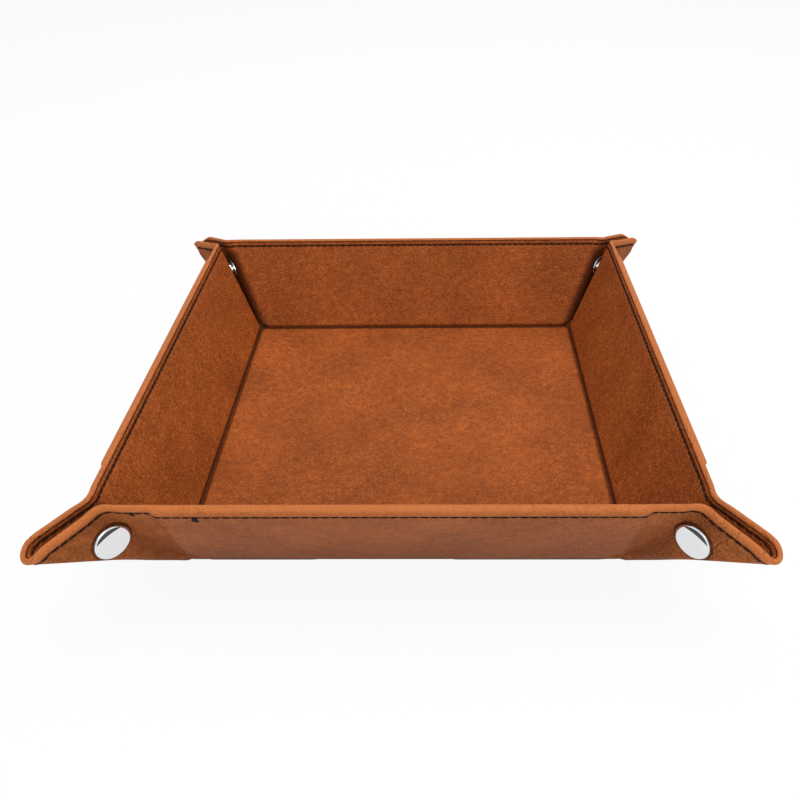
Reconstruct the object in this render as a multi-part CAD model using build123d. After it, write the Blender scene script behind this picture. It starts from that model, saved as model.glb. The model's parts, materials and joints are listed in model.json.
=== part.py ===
from build123d import *

import os
from math import atan, cos, degrees, pi, radians, sin, tan

# Valet tray: two square leather sheets with stiffening boards between them.
# Four walls stand up from the base on fold lines, and at each corner the two
# neighbouring walls run on into a pair of leather ears. A snap through each
# pair of ears holds the corner, and opening the four snaps lets it lie flat.
#
# The origin is the middle of the base's underside, +Z is up, and -Y is front.
# One wall is drawn flat beside the base, in its own sheet coordinates: u along
# the fold line, v up the wall, w outwards through the thickness. Its ears are
# drawn flat in the same coordinates and turned about their own fold lines.

# The sheet
base_side = 153.0
wall_slant = 43.5
sheet_corner_radius = 12.0
leather_thickness = 1.0
board_thickness = 1.5
rim_round = 0.7

# How it stands
wall_lean = 64.0

# Half of the space between the two ears of a corner, and how it widens outwards
half_gap_at_corner = 0.5
ear_fan = 2.055
widening_rise = 44.64
crease_clearance = 0.15
turn_facets = 8

# The boards
board_fold_gap = 1.2
board_rim_gap = 0.4
board_end_gap = 2.5
board_step_run = 3.0

# The snap lies as near to the corner as its cap and socket allow
snap_fold_clearance = 0.4
snap_crease_clearance = 0.12
snap_play = 0.25

# The snap's cap side: cap, post and socket
cap_radius = 6.25
cap_height = 1.35
cap_face_radius = 4.9
post_radius = 1.6
post_tail = 0.85
socket_radius = 4.4
socket_floor = 0.6
socket_height = 2.1
socket_bore_radius = 2.15

# The snap's stud side: eyelet, post and stud
eyelet_radius = 4.7
eyelet_height = 0.7
eyelet_post_radius = 1.05
eyelet_bore_radius = 0.65
stud_flange_radius = 4.6
stud_flange = 0.7
stud_boss_radius = 1.75

# What every rivet leaves round its post
post_clearance = 0.06
hole_clearance = 0.15

# Sizes that follow from those above
base_half = base_side / 2
sheet_half = base_half + wall_slant
stack = leather_thickness + board_thickness + leather_thickness
ear_thickness = leather_thickness + leather_thickness
board_half = base_half - board_end_gap
base_board_side = base_side - board_fold_gap - board_fold_gap

wall_names = ["right", "rear", "left", "front"]
corner_names = ["rear_right", "rear_left", "front_left", "front_right"]
quarter_turn = 90.0
half_turn = 180.0

# Directions at the rear right corner, where the drawing is made
lean = radians(wall_lean)
up = Vector(0, 0, 1)
corner = Vector(base_half, base_half, stack)
outward = Vector(1, 1, 0).normalized()
sideways = Vector(1, -1, 0).normalized()
wall_origin = Vector(base_half, 0, stack)
wall_u = Vector(0, 1, 0)
wall_v = Vector(cos(lean), 0, sin(lean))
wall_w = Vector(sin(lean), 0, -cos(lean))
wall_plane = Plane(origin=wall_origin, x_dir=wall_u, z_dir=wall_w)

# The ear stands beside the upright plane through the corner's diagonal, and
# leaves it slowly, so that the space between the two ears widens outwards
fan = radians(ear_fan)
widening = outward * cos(radians(widening_rise)) + up * sin(radians(widening_rise))
ear_w = sideways * cos(fan) - widening * sin(fan)


def in_sheet(direction):
    """A direction of the tray, in the wall's sheet coordinates."""
    return Vector(direction.dot(wall_u), direction.dot(wall_v), direction.dot(wall_w))


def turned(point, axis_point, axis_direction, angle):
    """A point turned about an axis by an angle in degrees."""
    return axis_point + (point - axis_point).rotate(Axis(axis_point, axis_direction), angle)


# The fold between wall and ear lies where their outer faces meet, so that the
# two plates close up face to face when the ear is laid flat
fold_cosine = wall_w.dot(ear_w)
ear_turn = wall_w.get_angle(ear_w)
ear_offset = ear_thickness + half_gap_at_corner * cos(fan)
ear_share = (ear_offset - ear_thickness * fold_cosine) / (1 - fold_cosine * fold_cosine)
wall_share = ear_thickness - ear_share * fold_cosine
ear_fold_point = corner + wall_w * wall_share + ear_w * ear_share
ear_fold_direction = wall_w.cross(ear_w).normalized()

fold_point = in_sheet(ear_fold_point - wall_origin)
fold_direction = in_sheet(ear_fold_direction)
fold_slope = fold_direction.X / fold_direction.Y
fold_foot = fold_point.X - fold_point.Y * fold_slope
fold_rise = Vector(fold_slope, 1, 0).normalized()
fold_top = Vector(fold_foot + fold_slope * wall_slant, wall_slant, 0)

# The crease where the two ears of a corner run into each other is the sheet's
# diagonal. Each ear stops short of it by its half of the round turn there
crease_angle = radians(quarter_turn / 2)
diagonal = Vector(cos(crease_angle), sin(crease_angle), 0)
beside_diagonal = Vector(-sin(crease_angle), cos(crease_angle), 0)
sheet_corner = Vector(base_half, 0, 0)
fold_elevation = radians(quarter_turn - up.get_angle(-ear_fold_direction))
crease_elevation = fold_elevation - (crease_angle - atan(fold_slope))
crease_rise = outward * cos(crease_elevation) + up * sin(crease_elevation)
crease_length = (wall_slant - sheet_corner_radius) / sin(crease_angle) + sheet_corner_radius


def half_gap(reach):
    """Half of the space between the ears, at a distance along the crease."""
    return half_gap_at_corner + tan(fan) * reach * crease_rise.dot(widening)


def crease_edge(reach):
    """The ear's lower edge in the flat sheet, at a distance along the crease."""
    half_turn_width = (half_gap(reach) + ear_thickness / 2) * pi / 2
    return sheet_corner + diagonal * reach + beside_diagonal * half_turn_width


edge_start = crease_edge(0)
edge_rise = (crease_edge(crease_length) - edge_start).normalized()
start_offset = edge_start - Vector(fold_foot, 0, 0)
edge_reach = start_offset.cross(fold_rise).Z / fold_rise.cross(edge_rise).Z
ear_apex = edge_start + edge_rise * edge_reach
ear_tip = crease_edge(crease_length)

# The snap's place on the flat ear, set in from the fold and from the crease
ear_spread = radians(fold_rise.get_angle(edge_rise))
snap_along_fold = (socket_radius + snap_crease_clearance) / sin(ear_spread)
snap_along_edge = (cap_radius + snap_fold_clearance) / sin(ear_spread)
snap_flat = ear_apex + fold_rise * snap_along_fold + edge_rise * snap_along_edge


def plate(outline, bottom, top):
    """A flat outline given thickness between two heights."""
    return extrude(Pos(0, 0, bottom) * outline, amount=top - bottom, dir=(0, 0, 1))


def flat_sheet(inset):
    """The whole square sheet in a wall's coordinates, drawn in by an inset."""
    side = sheet_half + sheet_half - inset - inset
    return Pos(0, -base_half) * RectangleRounded(side, side, sheet_corner_radius - inset)


def on_sheet_border(edge):
    """True for the long edges that follow the sheet's border."""
    along = edge.center()
    straight = abs(along.Y - wall_slant) < rim_round
    rounded = abs(Vector(along.X, along.Y, 0).sub(border_centre).length - sheet_corner_radius) < rim_round
    level = abs(edge.position_at(0).Z - edge.position_at(1).Z) < rim_round
    return level and (straight or (rounded and along.X > border_centre.X))


border_centre = Vector(sheet_half - sheet_corner_radius, wall_slant - sheet_corner_radius, 0)
wall_outline = make_face(
    Polyline(
        (-fold_foot, 0),
        (fold_foot, 0),
        (fold_top.X, wall_slant),
        (-fold_top.X, wall_slant),
        close=True,
    )
)
far_along_fold = ear_apex + fold_rise * sheet_half
far_along_edge = ear_apex + edge_rise * sheet_half
ear_sector = make_face(
    Polyline(
        (ear_apex.X, ear_apex.Y),
        (far_along_edge.X, far_along_edge.Y),
        (far_along_fold.X, far_along_fold.Y),
        close=True,
    )
)


def base_parts():
    """The base's lining, board and cover, and the four bends round it."""
    square = Rectangle(base_side, base_side)
    board_square = Rectangle(base_board_side, base_board_side)
    board = plate(board_square, leather_thickness, leather_thickness + board_thickness)
    lining = plate(square, stack - leather_thickness, stack)
    cover = plate(square, 0, stack - leather_thickness) - board
    edge_face = Plane(origin=wall_origin, x_dir=wall_u, z_dir=(1, 0, 0)) * Pos(0, -stack / 2) * Rectangle(
        fold_foot + fold_foot, stack
    )
    bend = revolve(edge_face, Axis(wall_origin, -wall_u), wall_lean)
    bends = [bend.rotate(Axis.Z, quarter_turn * step) for step in range(len(wall_names))]
    return {
        "base_board": board,
        "base_lining": lining,
        "base_cover": cover,
        "base_fold_strips": Compound(children=bends),
    }


def wall_parts():
    """One wall's lining, board and cover, still flat in sheet coordinates."""
    thick_side = Polyline(
        (-fold_top.X, 0),
        (fold_top.X, 0),
        (fold_top.X, ear_thickness),
        (board_half + board_step_run, ear_thickness),
        (board_half, stack),
        (-board_half, stack),
        (-board_half - board_step_run, ear_thickness),
        (-fold_top.X, ear_thickness),
        close=True,
    )
    section = Plane(origin=(0, 0, 0), x_dir=(1, 0, 0), z_dir=(0, -1, 0)) * make_face(thick_side)
    envelope = extrude(section, amount=wall_slant, dir=(0, 1, 0)) & plate(wall_outline, 0, stack)
    border = [edge for edge in envelope.edges() if on_sheet_border(edge)]
    envelope = chamfer(border, rim_round)
    lining = plate(wall_outline & flat_sheet(leather_thickness), 0, leather_thickness)
    board_top = wall_slant - leather_thickness - board_rim_gap
    board_rise = board_top - board_fold_gap
    board_outline = Pos(0, board_fold_gap + board_rise / 2) * Rectangle(board_half + board_half, board_rise)
    board = plate(board_outline, leather_thickness, leather_thickness + board_thickness)
    return {"board": board, "lining": lining, "cover": envelope - lining - board}


def ear_fold_bend():
    """The bend between wall and ear, turned round the ear's fold line."""
    lower = Vector(ear_apex.X, ear_apex.Y, 0)
    upper = Vector(fold_top.X, fold_top.Y, 0)
    rise = Vector(0, 0, ear_thickness)
    end_face = make_face(Polyline(lower, upper, upper + rise, lower + rise, close=True))
    return revolve(end_face, Axis(fold_point, fold_direction), ear_turn)


def ear_parts(hole_radius):
    """One ear's lining and cover, flat in sheet coordinates, with their hole."""
    outline = ear_sector & flat_sheet(0)
    envelope = plate(outline, 0, ear_thickness)
    border = [edge for edge in envelope.edges() if on_sheet_border(edge)]
    envelope = chamfer(border, rim_round)
    lining = plate(ear_sector & flat_sheet(leather_thickness), 0, leather_thickness)
    cover = envelope - lining
    hole = Pos(snap_flat.X, snap_flat.Y) * extrude(Circle(hole_radius), amount=ear_thickness)
    return {"lining": lining - hole, "cover": cover - hole}


def spun(*points):
    """A solid of revolution from radius and height points."""
    return revolve(Plane.XZ * make_face(Polyline(*points, close=True)), Axis.Z)


def cap_side():
    """Cap with its post, and the socket that is set on the post."""
    face = ear_thickness + cap_height
    cap = spun(
        (0, face),
        (cap_face_radius, face),
        (cap_radius, ear_thickness),
        (post_radius, ear_thickness),
        (post_radius, -post_tail),
        (0, -post_tail),
    )
    socket = spun(
        (post_radius + post_clearance, 0),
        (socket_radius, 0),
        (socket_radius, -socket_height),
        (socket_bore_radius, -socket_height),
        (socket_bore_radius, -socket_floor),
        (post_radius + post_clearance, -socket_floor),
    )
    return {"cap": cap, "socket": socket}


def stud_side():
    """Eyelet with its hollow post, and the stud that is set on the post."""
    face = ear_thickness + eyelet_height
    snap_gap = (folded_point(snap_flat) - corner).dot(sideways) * 2
    nose = post_tail + snap_play - snap_gap
    eyelet = spun(
        (eyelet_bore_radius, face),
        (eyelet_radius, face),
        (eyelet_radius, ear_thickness),
        (eyelet_post_radius, ear_thickness),
        (eyelet_post_radius, nose),
        (eyelet_bore_radius, nose),
    )
    stud = spun(
        (eyelet_post_radius + post_clearance, 0),
        (stud_flange_radius, 0),
        (stud_flange_radius, -stud_flange),
        (stud_boss_radius, -stud_flange),
        (stud_boss_radius, nose),
        (eyelet_post_radius + post_clearance, nose),
    )
    return {"eyelet": eyelet, "stud": stud}


def standing(flat_part):
    """A wall's part, taken from its sheet coordinates to its standing place."""
    return wall_plane.location * flat_part


def folded(flat_part):
    """An ear's part, turned about the ear's fold and stood up with its wall."""
    return standing(flat_part.rotate(Axis(fold_point, fold_direction), ear_turn))


def folded_point(point):
    """A point of the flat ear, where it lies with the tray standing."""
    return wall_plane.from_local_coords(turned(point, fold_point, fold_direction, ear_turn))


def turn_middle(flat_point):
    """Where the round turn's axis passes an ear's edge, and how far aside the ear is."""
    middle = folded_point(flat_point + Vector(0, 0, ear_thickness / 2))
    aside = (middle - corner).dot(sideways)
    down = crease_rise.cross(sideways)
    return middle - sideways * aside + down * crease_clearance, aside


def turn_ring(middle, aside, along):
    """The points round the turn's cross-section, at one place on its axis."""
    angles = [half_turn * step / turn_facets for step in range(turn_facets + 1)]
    directions = [sideways.rotate(Axis((0, 0, 0), along), angle) for angle in angles]
    outer = [middle + direction * (aside + ear_thickness / 2) for direction in directions]
    inner = [middle + direction * (aside - ear_thickness / 2) for direction in directions]
    return outer + inner[::-1]


def crease_strip():
    """The leather turned round the crease, from the base's corner to the tip."""
    start, start_aside = turn_middle(ear_apex)
    end, end_aside = turn_middle(ear_tip)
    start_ring = turn_ring(start, start_aside, end - start)
    end_ring = turn_ring(end, end_aside, end - start)
    corners = [start_ring, end_ring]
    for place in range(len(start_ring)):
        near, far = (start_ring[place - 1], start_ring[place]), (end_ring[place], end_ring[place - 1])
        corners.append(near + far)
    return Solid(Shell([make_face(Polyline(*points, close=True)).face() for points in corners]))


def build():
    """Every node of the tray, by name, where it lies with the tray standing."""
    nodes = dict(base_parts())
    wall = wall_parts()
    bend = folded(ear_fold_bend().rotate(Axis(fold_point, fold_direction), -ear_turn))
    mirrored_bend = mirror(bend, about=Plane.XZ)
    snap_sides = [
        ear_parts(eyelet_post_radius + hole_clearance) | {
            name: Pos(snap_flat.X, snap_flat.Y) * part for name, part in stud_side().items()
        },
        ear_parts(post_radius + hole_clearance) | {
            name: Pos(snap_flat.X, snap_flat.Y) * part for name, part in cap_side().items()
        },
    ]
    strip = crease_strip()
    for step, name in enumerate(wall_names):
        angle = quarter_turn * step
        for part_name, part in wall.items():
            nodes[f"{name}_wall_{part_name}"] = standing(part).rotate(Axis.Z, angle)
        bends = [bend.rotate(Axis.Z, angle), mirrored_bend.rotate(Axis.Z, angle)]
        nodes[f"{name}_wall_ear_fold_strips"] = Compound(children=bends)
        after = wall_names[(step + 1) % len(wall_names)]
        before = wall_names[step - 1]
        for part_name, part in snap_sides[step % len(snap_sides)].items():
            ear_part = folded(part)
            nodes[f"{name}_ear_{after}_{part_name}"] = ear_part.rotate(Axis.Z, angle)
            mirrored_part = mirror(ear_part, about=Plane.XZ)
            nodes[f"{name}_ear_{before}_{part_name}"] = mirrored_part.rotate(Axis.Z, angle)
        nodes[f"{corner_names[step]}_crease_strip"] = strip.rotate(Axis.Z, angle)
    return nodes


nodes = build()
os.makedirs("parts", exist_ok=True)
for node_name, node in nodes.items():
    export_step(node, os.path.join("parts", f"{node_name}.step"))

print("nodes", len(nodes))
print("ear turn", round(ear_turn, 4), "fold foot", round(fold_foot, 3))
print("fold slant", round(degrees(atan(fold_slope)), 3))
print("crease elevation", round(degrees(crease_elevation), 3))
print("ear fold point", ear_fold_point, "direction", -ear_fold_direction)
print("snap flat", snap_flat, "snap at rest", folded_point(snap_flat))
print("apex", ear_apex, "tip", ear_tip, "tip at rest", folded_point(ear_tip))
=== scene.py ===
"""A snap-corner valet tray: two leather sheets with boards between them, sewn round the edge.

The leather is drawn as it lies flat and is then folded up about the same hinges that the
tray unfolds on. The sheet's own sizes are millimetres, and points of the tray are metres.
"""

import json
import logging
import math
from dataclasses import dataclass
from enum import Enum
from functools import reduce
from typing import Callable

import bpy
import numpy as np
from mathutils import Matrix, Vector


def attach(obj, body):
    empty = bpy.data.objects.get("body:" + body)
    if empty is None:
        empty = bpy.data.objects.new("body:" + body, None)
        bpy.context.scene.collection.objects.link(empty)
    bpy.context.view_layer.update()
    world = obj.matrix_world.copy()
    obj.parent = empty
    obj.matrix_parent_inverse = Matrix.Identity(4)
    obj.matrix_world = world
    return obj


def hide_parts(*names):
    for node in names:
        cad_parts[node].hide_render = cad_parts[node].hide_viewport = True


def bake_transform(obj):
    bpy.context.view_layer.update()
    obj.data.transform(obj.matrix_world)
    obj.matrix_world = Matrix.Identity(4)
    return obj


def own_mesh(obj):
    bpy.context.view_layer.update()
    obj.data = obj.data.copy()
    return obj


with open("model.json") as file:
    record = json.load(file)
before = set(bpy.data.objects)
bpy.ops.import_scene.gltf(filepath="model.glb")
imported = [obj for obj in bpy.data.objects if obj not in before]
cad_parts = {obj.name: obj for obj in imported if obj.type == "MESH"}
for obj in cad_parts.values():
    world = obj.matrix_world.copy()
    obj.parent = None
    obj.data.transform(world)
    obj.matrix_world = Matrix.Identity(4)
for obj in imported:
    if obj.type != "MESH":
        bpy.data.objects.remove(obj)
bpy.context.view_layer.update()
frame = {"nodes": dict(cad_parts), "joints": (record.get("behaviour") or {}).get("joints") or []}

LOG = logging.getLogger("valet_tray")
MM = 0.001
FLAT_PLACE = "flat_place"
TURNED_PLACE = "turned_place"
FOLD_HALVINGS = 40
MERGE_GAP = 2e-7

Value = float | np.ndarray
Point = tuple[float, ...]
Colour = tuple[int, int, int]
Piece = bpy.types.Object
Material = bpy.types.Material
Socket = bpy.types.NodeSocket
Tree = bpy.types.ShaderNodeTree


class Side(Enum):
    """The four walls, each a quarter turn on from the right one."""

    RIGHT = 0
    REAR = 1
    LEFT = 2
    FRONT = 3

    @property
    def label(self) -> str:
        """The wall's name in the CAD bodies."""
        return self.name.lower()

    def beside(self, hand: int) -> "Side":
        """The neighbouring wall on one hand."""
        return Side((self.value + hand) % 4)


class Sharp(Enum):
    """The angle past which an edge stays sharp, in degrees, for each kind of surface."""

    METAL = 30.0
    SHEET = 38.0
    STRIP = 50.0
    LUMP = 60.0
    THREAD = 80.0


class Ply(Enum):
    """The two sheets of leather."""

    LINING = "lining"
    COVER = "cover"


def smooth(low: float, high: float, x: Value) -> Value:
    """A smooth step from 0 at low to 1 at high."""
    t = np.clip((x - low) / (high - low), 0, 1)
    return t * t * (3 - 2 * t)


def bump(x: Value, centre: float, width: float) -> Value:
    """A bell of height 1 about a centre."""
    return np.exp(-(((x - centre) / width) ** 2))


def unit(way: np.ndarray) -> np.ndarray:
    """A way made one long."""
    return way / np.linalg.norm(way)


@dataclass(frozen=True)
class Sheet:
    """The flat sheet in a wall's own coordinates: u along the fold line and v up the wall."""

    base_half: float = 76.5
    slant: float = 43.5
    corner_radius: float = 12.0
    # Through the thickness: the wall with its board thins to the ear's bare leather
    stack: float = 3.5
    ear_thickness: float = 2.0
    leather: float = 1.0
    step_start: float = 74.0
    step_end: float = 77.0
    # The ear's fold line starts at its foot, and the ear's leather runs from apex to tip
    fold_foot: float = 74.789
    apex: tuple[float, float] = (75.882, 2.837)
    tip: tuple[float, float] = (112.611, 43.859)
    snap: tuple[float, float] = (92.975, 28.704)
    # The crease between two ears: half the width of its round turn, and how far it sags
    crease_half_widths: tuple[float, float] = (2.443, 5.479)
    sag: float = 1.9
    sag_end: float = 29.0
    # Where the pieces meet beside the base's folds and corners
    seam_rise: float = 2.2
    foot_end: float = 75.632
    strip_end: float = 74.4
    # How far each bend spreads to a side of its hinge
    ear_bend_reach: float = 4.6
    lining_bend_reach: float = 1.5
    cover_bend_reach: float = 2.6
    # Counted in from the border
    lip: float = 1.5
    stitch_inset: float = 3.3
    stitch_groove_width: float = 0.75
    plain_inset: float = 7.0

    @property
    def rim_end(self) -> float:
        """Where the straight rim ends and the sheet's rounded corner starts."""
        return self.base_half + self.slant - self.corner_radius

    @property
    def fold_slope(self) -> float:
        """How much the ear's fold line leans outwards for each step up."""
        return (self.apex[0] - self.fold_foot) / self.apex[1]

    @property
    def fold_top(self) -> float:
        """Where the ear's fold line meets the rim."""
        return self.fold_foot + self.fold_slope * self.slant

    @property
    def crease_end(self) -> float:
        """How far along the crease the border lies."""
        return self.reach(self.rim_end, self.slant - self.corner_radius) + self.corner_radius

    def reach(self, u: Value, v: Value) -> Value:
        """How far along the crease a place lies, from the base's corner."""
        return ((u - self.base_half) + v) / math.sqrt(2)

    def aside(self, u: Value, v: Value) -> Value:
        """How far to the ear's side of the crease a place lies."""
        return (v - (u - self.base_half)) / math.sqrt(2)

    def crease_width(self, reach: Value) -> Value:
        """Half the flat width of the round turn, at a distance along the crease.

        Args:
            reach: How far along the crease.

        Returns:
            The width, in millimetres.
        """
        near, far = self.reach(*self.apex), self.reach(*self.tip)
        low, high = self.crease_half_widths
        return low + (high - low) * ((reach - near) / (far - near))

    def thickness(self, u: Value) -> Value:
        """The whole thickness of the leather and the board at a place along the fold line."""
        share = smooth(self.step_start, self.step_end, np.abs(u))
        return self.stack + (self.ear_thickness - self.stack) * share

    def border(self, columns: np.ndarray, inset: Value) -> tuple[np.ndarray, np.ndarray]:
        """Places along the border, from a wall's middle round to the crease.

        Args:
            columns: Lengths along the border from the wall's middle.
            inset: How far inside the border.

        Returns:
            The places' u and v.
        """
        turn = np.clip((columns - self.rim_end) / self.corner_radius, 0, math.pi / 4)
        radius = self.corner_radius - inset
        u = np.minimum(columns, self.rim_end) + radius * np.sin(turn)
        return u, self.slant - self.corner_radius + radius * np.cos(turn)


SHEET = Sheet()


@dataclass(frozen=True)
class Hinge:
    """A joint's axis and travel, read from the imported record."""

    point: np.ndarray
    axis: np.ndarray
    travel: float

    @classmethod
    def named(cls, name: str) -> "Hinge":
        """The hinge of a joint of the frame.

        Args:
            name: The joint's name.

        Returns:
            The hinge with its axis at rest and its travel in radians.
        """
        joint = next(j for j in frame["joints"] if j["name"] == name)
        travel = math.radians(max(joint["range_deg"]))
        return cls(np.array(joint["pos_m"], float), unit(np.array(joint["axis"], float)), travel)

    def turn(self, points: np.ndarray, share: Value) -> np.ndarray:
        """Points turned about the axis.

        Args:
            points: The points, in metres.
            share: The share of the travel, one for all or one for each point.

        Returns:
            The turned points.
        """
        angle = np.broadcast_to(np.asarray(share, float) * self.travel, points.shape[:1])
        p = points - self.point
        c, s = np.cos(angle)[:, None], np.sin(angle)[:, None]
        along = (p @ self.axis)[:, None] * self.axis
        return self.point + p * c + np.cross(self.axis, p) * s + along * (1 - c)


@dataclass(frozen=True)
class Bend:
    """Leather bending smoothly over one hinge."""

    hinge: Hinge
    start: np.ndarray
    end: np.ndarray

    @classmethod
    def across(cls, hinge: Hinge, beyond: np.ndarray, reach: float) -> "Bend":
        """A bend over a hinge.

        Args:
            hinge: The hinge.
            beyond: The way across the fold at rest, on the side that doesn't move.
            reach: How far the bend goes to each side of the axis, in millimetres.

        Returns:
            The bend with its start and end points at rest.
        """
        moved = hinge.turn((hinge.point + beyond)[None, :], -1.0)[0] - hinge.point
        way = unit(beyond + moved) * reach * MM
        return cls(hinge, hinge.point - way, hinge.point + way)

    def fold(self, points: np.ndarray) -> np.ndarray:
        """Points of the unfolded sheet, brought to rest.

        Args:
            points: Points with this hinge laid open.

        Returns:
            The points at rest, such that a blend over the hinge lays them open again exactly.
        """
        way = self.end - self.start
        low, high = np.zeros(len(points)), np.ones(len(points))
        for _ in range(FOLD_HALVINGS):
            middle = (low + high) / 2
            turned = self.hinge.turn(points, -middle)
            ahead = smooth(0.0, way @ way, (turned - self.start) @ way) > middle
            low, high = np.where(ahead, middle, low), np.where(ahead, high, middle)
        return self.hinge.turn(points, -(low + high) / 2)


def quarter_turned(points: np.ndarray, side: Side) -> np.ndarray:
    """Points of the right wall, turned to another wall."""
    turn = np.array(Matrix.Rotation(side.value * math.pi / 2, 3, "Z"))
    return points @ np.round(turn, 12).T


@dataclass(frozen=True)
class HalfWall:
    """Half of one wall with its ear, from the wall's middle to the crease."""

    side: Side
    hand: int

    @property
    def wall(self) -> str:
        """The wall's body."""
        return f"{self.side.label}_wall"

    @property
    def ear(self) -> str:
        """The ear's body."""
        return f"{self.side.label}_ear_{self.side.beside(self.hand).label}"

    @property
    def corner(self) -> str:
        """The corner's name in the CAD nodes, front or rear first."""
        ends = (self.side, self.side.beside(self.hand))
        return "_".join(end.label for end in sorted(ends, key=lambda end: -(end.value % 2)))

    def place(self, u: Value, v: Value, w: Value) -> np.ndarray:
        """Sheet coordinates to points of the tray laid flat.

        Args:
            u: Along the fold line, from the wall's middle towards the ear.
            v: Up the wall.
            w: Through the thickness, from the lining's face outwards.

        Returns:
            The points, in metres.
        """
        flat = np.broadcast_arrays(SHEET.base_half + v, self.hand * u, SHEET.stack - w)
        return quarter_turned(np.stack(flat, axis=-1) * MM, self.side)

    def sheet_place(self, flat: np.ndarray) -> tuple[np.ndarray, np.ndarray, np.ndarray]:
        """The u, v and w of points of the tray laid flat."""
        turned = quarter_turned(flat, Side(-self.side.value % 4)) / MM
        return self.hand * turned[:, 1], turned[:, 0] - SHEET.base_half, SHEET.stack - turned[:, 2]

    def wall_hinge(self) -> Hinge:
        """The fold between the base and this wall."""
        return Hinge.named(f"{self.side.label}_fold")

    def ear_hinge(self) -> Hinge:
        """The fold between this wall and its ear."""
        return Hinge.named(f"{self.ear}_fold")

    def ear_bend(self) -> Bend:
        """The soft bend between this wall and its ear.

        Returns:
            The bend, with its start and end points at rest.
        """
        ends = np.array([SHEET.fold_foot, SHEET.fold_top]), np.array([0.0, SHEET.slant])
        fold = self.place(*ends, 0.0)
        rise = unit(fold[1] - fold[0])
        along = self.place(1.0, 0.0, 0.0) - self.place(0.0, 0.0, 0.0)
        across = unit(along - rise * (along @ rise))
        turned = self.wall_hinge().turn(np.stack([np.zeros(3), across]), -1.0)
        return Bend.across(self.ear_hinge(), turned[1] - turned[0], SHEET.ear_bend_reach)

    def fold(self, flat: np.ndarray) -> np.ndarray:
        """The flat tray's points of this half wall, brought to rest."""
        return self.ear_bend().fold(self.wall_hinge().turn(flat, -1.0))

    def fold_ear(self, flat: np.ndarray) -> np.ndarray:
        """The flat tray's points brought to rest as if the whole half were ear."""
        return self.ear_hinge().turn(self.wall_hinge().turn(flat, -1.0), -1.0)

    def bend_with_ear(self, obj: Piece) -> None:
        """Works out the ear's bend, which goes unused, and bakes a piece's transform into its mesh.
        """
        bend = self.ear_bend()
        self.ear
        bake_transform(obj)


HALVES = [HalfWall(side, hand) for side in Side for hand in (1, -1)]


def activate(obj: Piece) -> None:
    """Selects one object alone and makes it active.

    Args:
        obj: The object.
    """
    deselect()
    obj.select_set(True)
    bpy.context.view_layer.objects.active = obj


def deselect() -> None:
    """Leaves object mode with nothing selected."""
    if bpy.context.object and bpy.context.object.mode != "OBJECT":
        bpy.ops.object.mode_set(mode="OBJECT")
    bpy.ops.object.select_all(action="DESELECT")


def edit(obj: Piece, *steps: Callable[[], object]) -> None:
    """Edits a piece's mesh.

    Args:
        obj: The piece.
        *steps: The steps, each of which starts with everything selected.
    """
    activate(obj)
    bpy.ops.object.mode_set(mode="EDIT")
    for step in steps:
        bpy.ops.mesh.select_all(action="SELECT")
        step()
    bpy.ops.object.mode_set(mode="OBJECT")


def outwards() -> None:
    """Turns the selected faces outwards."""
    bpy.ops.mesh.normals_make_consistent(inside=False)


def cap_ends() -> None:
    """Closes a tube's two ends."""
    bpy.ops.mesh.select_all(action="DESELECT")
    bpy.ops.mesh.select_mode(type="EDGE")
    bpy.ops.mesh.select_non_manifold(extend=False, use_boundary=True)
    bpy.ops.mesh.edge_face_add()
    bpy.ops.mesh.select_mode(type="VERT")


def coordinates(obj: Piece) -> np.ndarray:
    """A mesh's points as an array.

    Args:
        obj: The piece.

    Returns:
        The points, as points by 3.
    """
    co = np.zeros(len(obj.data.vertices) * 3, np.float32)
    obj.data.vertices.foreach_get("co", co)
    return co.reshape(-1, 3).astype(float)


def set_coordinates(obj: Piece, points: np.ndarray) -> None:
    """Moves a mesh's points."""
    obj.data.vertices.foreach_set("co", points.astype(np.float32).ravel())
    obj.data.update()


def rolled(name: str, points: np.ndarray) -> Piece:
    """A closed piece lofted through rings of points.

    A grid is rolled up so that its two long edges meet, the doubles are merged and the two
    ends are capped.

    Args:
        name: The piece's name.
        points: The rings, as rings by points by 3.

    Returns:
        The piece, with its faces outwards.
    """
    rings, around = points.shape[:2]
    deselect()
    bpy.ops.mesh.primitive_grid_add(x_subdivisions=around, y_subdivisions=rings - 1, size=1)
    obj = bpy.context.object
    obj.name = obj.data.name = name
    set_coordinates(obj, np.concatenate([points, points[:, :1]], axis=1).reshape(-1, 3))
    edit(obj, lambda: bpy.ops.mesh.remove_doubles(threshold=MERGE_GAP), cap_ends, outwards)
    return obj


def keep_place(obj: Piece, name: str = FLAT_PLACE) -> None:
    """Stores where each point lies before it is folded or set, for its material."""
    attribute = obj.data.attributes.new(name, "FLOAT_VECTOR", "POINT")
    attribute.data.foreach_set("vector", coordinates(obj).astype(np.float32).ravel())


def fold_piece(obj: Piece, fold: Callable[[np.ndarray], np.ndarray]) -> None:
    """Keeps a flat piece's places for its grain and folds it to rest."""
    keep_place(obj)
    set_coordinates(obj, fold(coordinates(obj)))


def paint(obj: Piece, material: Material) -> None:
    """Gives a piece its only material."""
    obj.data.materials.clear()
    obj.data.materials.append(material)


def dress(obj: Piece, material: Material, sharp: Sharp = Sharp.STRIP) -> None:
    """Gives a piece its material and smooths it, with edges past an angle kept sharp.

    Args:
        obj: The piece.
        material: The material.
        sharp: The angle.
    """
    paint(obj, material)
    activate(obj)
    bpy.ops.object.shade_smooth_by_angle(angle=math.radians(sharp.value))


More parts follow.
